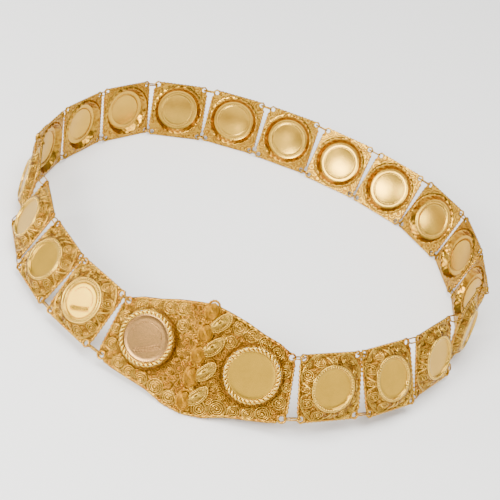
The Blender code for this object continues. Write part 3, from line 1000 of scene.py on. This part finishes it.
class CHAIN_OT_coins(bpy.types.Operator):
    """Set a face and a bezel on every coin"""

    bl_idname = "chain.coins"
    bl_label = "Dress the coins"

    def execute(self, context):
        settings = context.scene.waist_filigree
        bezel = bezel_mesh(settings)
        plain = coin_face_mesh(FIELD_R, False, "coin_plain")
        struck = coin_face_mesh(FIELD_R, True, "coin_struck")
        for i, matrix in enumerate(PLATE_FRAMES):
            tag = "%02d" % (i + 1)
            face = struck if i == len(PLATE_FRAMES) - 1 else plain
            place("coin_face_" + tag, face, matrix, "struck_coin_gold")
            place("bezel_" + tag, bezel, matrix, "burnished_rope_gold")
        rope = rope_bezel_mesh(settings)
        collar = dome_scrolls_mesh(settings)
        for name, side, branches in (("left", -1, True), ("right", 1, False)):
            x, y = clasp_coin()
            matrix = CLASP_FRAMES[name] @ moved(side * x, y)
            face = coin_face_mesh(CLASP_FIELD_R, branches, "coin_clasp_face_" + name)
            # the left coin takes the coin colour with the painted orange reflection
            finish = "old_coin_gold" if branches else "struck_coin_gold"
            place("coin_clasp_face_" + name, face, matrix, finish)
            place("rope_bezel_" + name, rope, matrix, "burnished_rope_gold")
            place("dome_scrolls_" + name, collar, matrix, "drawn_wire_gold")
        return {"FINISHED"}


def on_clasp(x, y):
    """Whether a place on the curved half, right of the seam, lies on its sheet."""
    along, up = unswept(x, y)
    top, bottom = clasp_edges(along)
    to_hole = math.hypot(along - CLASP_HALF + CLASP_EYELET_IN, abs(up) - EYELET[1])
    inset = CLASP_EDGE_INSET
    return (0 < along < CLASP_HALF - inset and bottom + inset < up < top - inset
            and to_hole > HOLE_R + HOLE_INSET)


def clasp_ground_mesh(side):
    """Skin on the front of a clasp half, from its coin out to its edges."""
    shape = Shape()
    coin_x, coin_y = clasp_coin()
    steps = 144
    rays = []
    for angle in round_turn(steps):
        c, s = math.cos(angle), math.sin(angle)
        reach = CLASP_SEAT_R
        while reach < 48 and on_clasp(coin_x + reach * c, coin_y + reach * s):
            reach += 0.1
        rays.append((c, s, reach))
    rows = []
    # Rings down the dome by their radius, and then over the sheet by their share of the way out
    for out in (CLASP_SEAT_R, 15.2, 15.44, CLASP_DOME_R, 0.3, 0.65, 1.0):
        row = []
        for c, s, reach in rays:
            over = CLASP_SEAT_R + (reach - CLASP_SEAT_R) * out
            r = min(out if out > 1 else max(CLASP_DOME_R, over), reach)
            z = float(profile_height(CLASP_DOME, r, CLASP_SHEET / 2)) + SKIN
            row.append((side * (coin_x + r * c), coin_y + r * s, z))
        rows.append(row[::side])
    shape.grid(rows, closed_across=True)
    return shape.mesh("clasp_ground")


def clasp_scrolls_mesh(settings, side, seed):
    """Large scrolls in their rings on the front of a clasp half."""
    shape = Shape()
    rng = random.Random(seed)
    for k, scroll in enumerate(CLASP_SCROLLS):
        add_scroll(shape, clasp_height, scroll, settings.scroll_wire * 1.1, settings.granule,
                   rng.uniform(0, 6.28), 1 if k % 2 else -1, 5)
        ring = ring_points(scroll.radius + 0.35, 0, 40, scroll.x, scroll.y)
        shape.tube(laid(clasp_height, ring[:, 0], ring[:, 1], 0.2), 0.2, 4, closed=True)
        if scroll.radius > 3.0:
            for x, y, z in ring_points(scroll.radius * 0.52, 0, 9, scroll.x, scroll.y):
                shape.granule(x, y, float(clasp_height(x, y)) + 0.15, 0.3, 5)
    shape.bend(side)
    return shape.mesh("clasp_scrolls")


def clasp_filigree_mesh(settings, side, seed):
    """Small scrolls that fill the front of a clasp half."""
    shape = Shape()
    rng = random.Random(seed)
    box = ((0, CLASP_HALF), (-27, 33))
    fill = free_scrolls(in_clasp, CLASP_SCROLLS, CLASP_FILL, box, seed, CLASP_TRIES)
    for scroll in fill:
        add_scroll(shape, clasp_height, scroll, settings.fine_wire, settings.fine_wire * 2.0,
                   rng.uniform(0, 6.28), rng.choice((-1, 1)))
    shape.bend(side)
    return shape.mesh("clasp_filigree")


def dome_scrolls_mesh(settings):
    """A band of small scrolls that climbs the collar of a clasp coin's dome."""
    shape = Shape()
    count, half_wide, turns = 34, 1.25, 1.25
    collar_reach, collar_high = 15.35, 2.6
    share = np.linspace(0, 1, 16)
    curl = 2 * math.pi * turns * share
    wound = 1 - 0.75 * share
    for middle in round_turn(count):
        turn = middle + half_wide * wound * np.cos(curl) / 15.4
        reach = collar_reach + 0.45 * wound * np.sin(curl)
        z = collar_high - 1.7 * wound * np.sin(curl)
        shape.tube(polar(reach, turn, z), 0.24, 4)
    return shape.mesh("dome_scrolls")


def clasp_edges_mesh(settings, side):
    """Milled wire round a clasp half and a collar round its eyelets."""
    shape = Shape()
    hole_x = CLASP_HALF - CLASP_EYELET_IN
    for sign in (1, -1):
        edge = [(s.along, s.top if sign > 0 else -s.bottom) for s in CLASP_SECTIONS]
        line = [(x, y - sign * CLASP_CORD_IN, 0.5) for x, y in edge]
        line.append((hole_x - 2.4, sign * (EYELET[1] + 1.9), CLASP_CORD_HIGH))
        line[0] = (0.7, line[0][1], CLASP_CORD_HIGH)
        corded_line(shape, line, 15, CLASP_CORD, CORD_DEPTH)
        shape.ring(CLASP_COLLAR, 22, 6, hole_x, sign * EYELET[1])
    end_x = CLASP_HALF - 0.45
    line = [(end_x, -CORD_END, CLASP_CORD_HIGH), (end_x, CORD_END, CLASP_CORD_HIGH)]
    corded_line(shape, line, settings.edge_bumps, CORD, CORD_DEPTH)
    shape.bend(side)
    return shape.mesh("clasp_edges")


class CHAIN_OT_clasp(bpy.types.Operator):
    """Lay filigree and milled edges on both clasp halves"""

    bl_idname = "chain.clasp"
    bl_label = "Dress the clasp"

    def execute(self, context):
        settings = context.scene.waist_filigree
        for name, side, seed in (("left", -1, 5), ("right", 1, 8)):
            matrix = CLASP_FRAMES[name]
            for part, mesh, finish in (
                    ("ground_", clasp_ground_mesh(side), "openwork_gold"),
                    ("scrolls_", clasp_scrolls_mesh(settings, side, seed), "scroll_gold"),
                    ("filigree_", clasp_filigree_mesh(settings, side, seed), "drawn_wire_gold"),
                    ("edges_", clasp_edges_mesh(settings, side), "drawn_wire_gold")):
                place("clasp_" + part + name, mesh, matrix, finish)
        return {"FINISHED"}


def leaf_outline(turn, scale):
    """Outline of a crest leaf, a half moon with its round side away from the seam."""
    x = np.where(np.cos(turn) > 0, 1.15, 0.55) * np.cos(turn) * LEAF_HALF_WIDE
    return scale * x, scale * LEAF_HALF_TALL * np.sin(turn)


def leaf_body_mesh():
    """Domed back of a crest leaf, closed underneath."""
    shape = Shape()
    turn = round_turn(48)
    rows = []
    for share in (1.0, 1.0, 0.93, 0.8, 0.6, 0.35, 0.04):
        x, y = leaf_outline(turn, share)
        high = CREST_HIGH * math.sqrt(1 - share ** 2) if rows else -0.3
        rows.append(spread(x, y, CREST_BACK + 0.3 + high))
    shape.grid(np.stack(rows), closed_across=True)
    shape.cap(0, 48, flip=True)
    shape.cap(6 * 48, 48)
    return shape.mesh("leaf_body")


def leaf_wire_mesh():
    """Rope edge and close wires of a crest leaf, combed from its stem to its round side."""
    shape = Shape()
    turn = round_turn(112)
    x, y = leaf_outline(turn, 1.0)
    corded_line(shape, spread(x, y, CREST_BACK + 0.75), 28, 0.68, 0.45, closed=True)
    x, y = leaf_outline(turn[::2], 0.8)
    high = CREST_HIGH * 0.6 + CREST_BACK + 0.45
    shape.tube(spread(x, y, high), 0.24, 5, closed=True)
    share = np.linspace(0.12, 0.92, 8)
    high = CREST_BACK + 0.5 + CREST_HIGH * np.sqrt(1 - share ** 2)
    for k in range(30):
        x, y = leaf_outline(2 * math.pi * (k + 0.9 * share) / 30, share)
        shape.tube(spread(x, y, high), 0.16, 4)
    return shape.mesh("leaf_wire")


def bud_mesh(bud):
    """Fine wire wound over a bud and a milled ring at its foot."""
    shape = Shape()
    base = CREST_BACK
    wide, tall = bud.half_wide * 1.18, bud.half_tall * 1.18
    turn = np.linspace(0, 2 * math.pi * 5, 130)
    share = np.linspace(1.0, 0.1, 130)
    dome = np.sqrt(1 - share ** 2) * (CREST_HIGH + 0.35)
    path = spread(wide * share * np.cos(turn), tall * share * np.sin(turn), base + 0.2 + dome)
    shape.tube(path, 0.27, 5)
    shape.granule(0, 0, base + CREST_HIGH + 0.2, 0.8)
    around = round_turn(72)
    foot = spread(wide * 1.05 * np.cos(around), tall * 1.05 * np.sin(around), base + 0.3)
    corded_line(shape, foot, 18, 0.6, 0.45, closed=True)
    return shape.mesh(bud.name + "_wire")


def seam_mesh():
    """Twisted wire under the buds, which hides the seam, with a curl between each two buds."""
    shape = Shape()
    line = [(-0.35, -24.6, 0.95), (-0.35, 31.2, 0.95)]
    corded_line(shape, line, 34, 0.62, 0.4)
    for low, high in zip(BUDS[1:], BUDS):
        middle = (low.y + high.y) / 2
        for side in (-1, 1):
            eye = low.x + side * 2.4
            start = 0 if side < 0 else math.pi
            x, y = spiral(eye, middle, radius=1.5, turns=2.2, start=start, sense=side)
            shape.tube(spread(x, y, np.linspace(1.3, 2.2, len(x))), 0.3, 5)
            shape.granule(eye, middle, 2.1, 0.55)
    return shape.mesh("seam_wire")


class CHAIN_OT_crest(bpy.types.Operator):
    """Wind the crest's buds and rope its leaves"""

    bl_idname = "chain.crest"
    bl_label = "Dress the crest"

    def execute(self, context):
        right = CLASP_FRAMES["right"]
        body, wire = leaf_body_mesh(), leaf_wire_mesh()
        for bud in BUDS:
            place(bud.name + "_wire", bud_mesh(bud), right @ moved(bud.x, bud.y), "bud_gold")
        for leaf in LEAVES:
            stand = right @ moved(leaf.x, leaf.y) @ turned(LEAF_LEAN, "Z")
            dome = place(leaf.name + "_dome", body, stand, "openwork_gold")
            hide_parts(leaf.name)
            place(leaf.name + "_wire", wire, stand, "scroll_gold")
        place("seam_wire", seam_mesh(), right, "drawn_wire_gold")
        return {"FINISHED"}


def soft_box(name, location, target, size, bright):
    """A studio soft box aimed at a point, as bright to the eye as bright times white paper."""
    data = bpy.data.lights.new(name, "AREA")
    data.shape = "RECTANGLE"
    data.size, data.size_y = size
    data.energy = bright * math.pi * size[0] * size[1]
    aim = (Vector(target) - Vector(location)).to_track_quat("-Z", "Y").to_matrix().to_4x4()
    show(bpy.data.objects.new(name, data), Matrix.Translation(location) @ aim)


class CHAIN_OT_stage(bpy.types.Operator):
    """Set the table, the soft boxes and the camera"""

    bl_idname = "chain.stage"
    bl_label = "Set the stage"

    def execute(self, context):
        scene = context.scene
        settings = scene.waist_stage
        mesh = bpy.data.meshes.new("table")
        corners = [(x * TABLE_HALF, y * TABLE_HALF, 0)
                   for x, y in ((-1, -1), (1, -1), (1, 1), (-1, 1))]
        mesh.from_pydata(corners, [], [(0, 1, 2, 3)])
        paper = bpy.data.materials.new("white_paper_sweep")
        paper.use_nodes = True
        shader = paper.node_tree.nodes["Principled BSDF"]
        shader.inputs["Base Color"].default_value = settings.floor
        shader.inputs["Roughness"].default_value = 0.9
        mesh.materials.append(paper)
        table = bpy.data.objects.new("table", mesh)
        show(table, Matrix.Translation((0, 0, CAD_BOX[0].z)))

        world = bpy.data.worlds.new("studio")
        world.use_nodes = True
        sky = world.node_tree.nodes["Background"]
        sky.inputs["Color"].default_value = linear("#FFFFFF")
        sky.inputs["Strength"].default_value = WORLD_LIGHT
        scene.world = world
        for name, location, target, size, bright in SOFT_BOXES:
            soft_box(name, location, target, size, bright * settings.key)

        data = bpy.data.cameras.new("camera")
        data.sensor_width = 36.0
        data.lens = LENS
        data.shift_x, data.shift_y = LENS_SHIFT
        camera = bpy.data.objects.new("camera", data)
        show(camera, turned(90, "X") @ Matrix.Rotation(-settings.elevation, 4, "X")
             @ Matrix.Rotation(settings.roll, 4, "Z")
             @ Matrix.Translation((0, 0, settings.distance)))
        scene.camera = camera
        return {"FINISHED"}


class CHAIN_PT_panel(bpy.types.Panel):
    """Waist chain panel"""

    bl_idname = "CHAIN_PT_panel"
    bl_label = "Waist chain"
    bl_space_type = "VIEW_3D"
    bl_region_type = "UI"
    bl_category = "Waist chain"

    def draw(self, context):
        for group, kind in SETTINGS.items():
            box = self.layout.box()
            for name in kind.__annotations__:
                box.prop(getattr(context.scene, group), name)
        for operator in STEPS:
            self.layout.operator(operator.bl_idname)


STEPS = (CHAIN_OT_finish_solids, CHAIN_OT_plates, CHAIN_OT_coins, CHAIN_OT_clasp, CHAIN_OT_crest,
         CHAIN_OT_stage)
SETTINGS = {"waist_metal": MetalSettings, "waist_filigree": FiligreeSettings,
            "waist_stage": StageSettings}
CLASSES = (*SETTINGS.values(), *STEPS, CHAIN_PT_panel)


def register():
    """Add the classes and their settings."""
    for item in CLASSES:
        bpy.utils.register_class(item)
    for group, kind in SETTINGS.items():
        setattr(bpy.types.Scene, group, PointerProperty(type=kind))


def unregister():
    """Remove them again."""
    for group in SETTINGS:
        delattr(bpy.types.Scene, group)
    for item in reversed(CLASSES):
        bpy.utils.unregister_class(item)


def main():
    """Build every piece in order."""
    register()
    bpy.ops.chain.finish_solids()
    bpy.ops.chain.plates()
    bpy.ops.chain.coins()
    bpy.ops.chain.clasp()
    bpy.ops.chain.crest()
    bpy.ops.chain.stage()


if __name__ == "__main__":
    main()
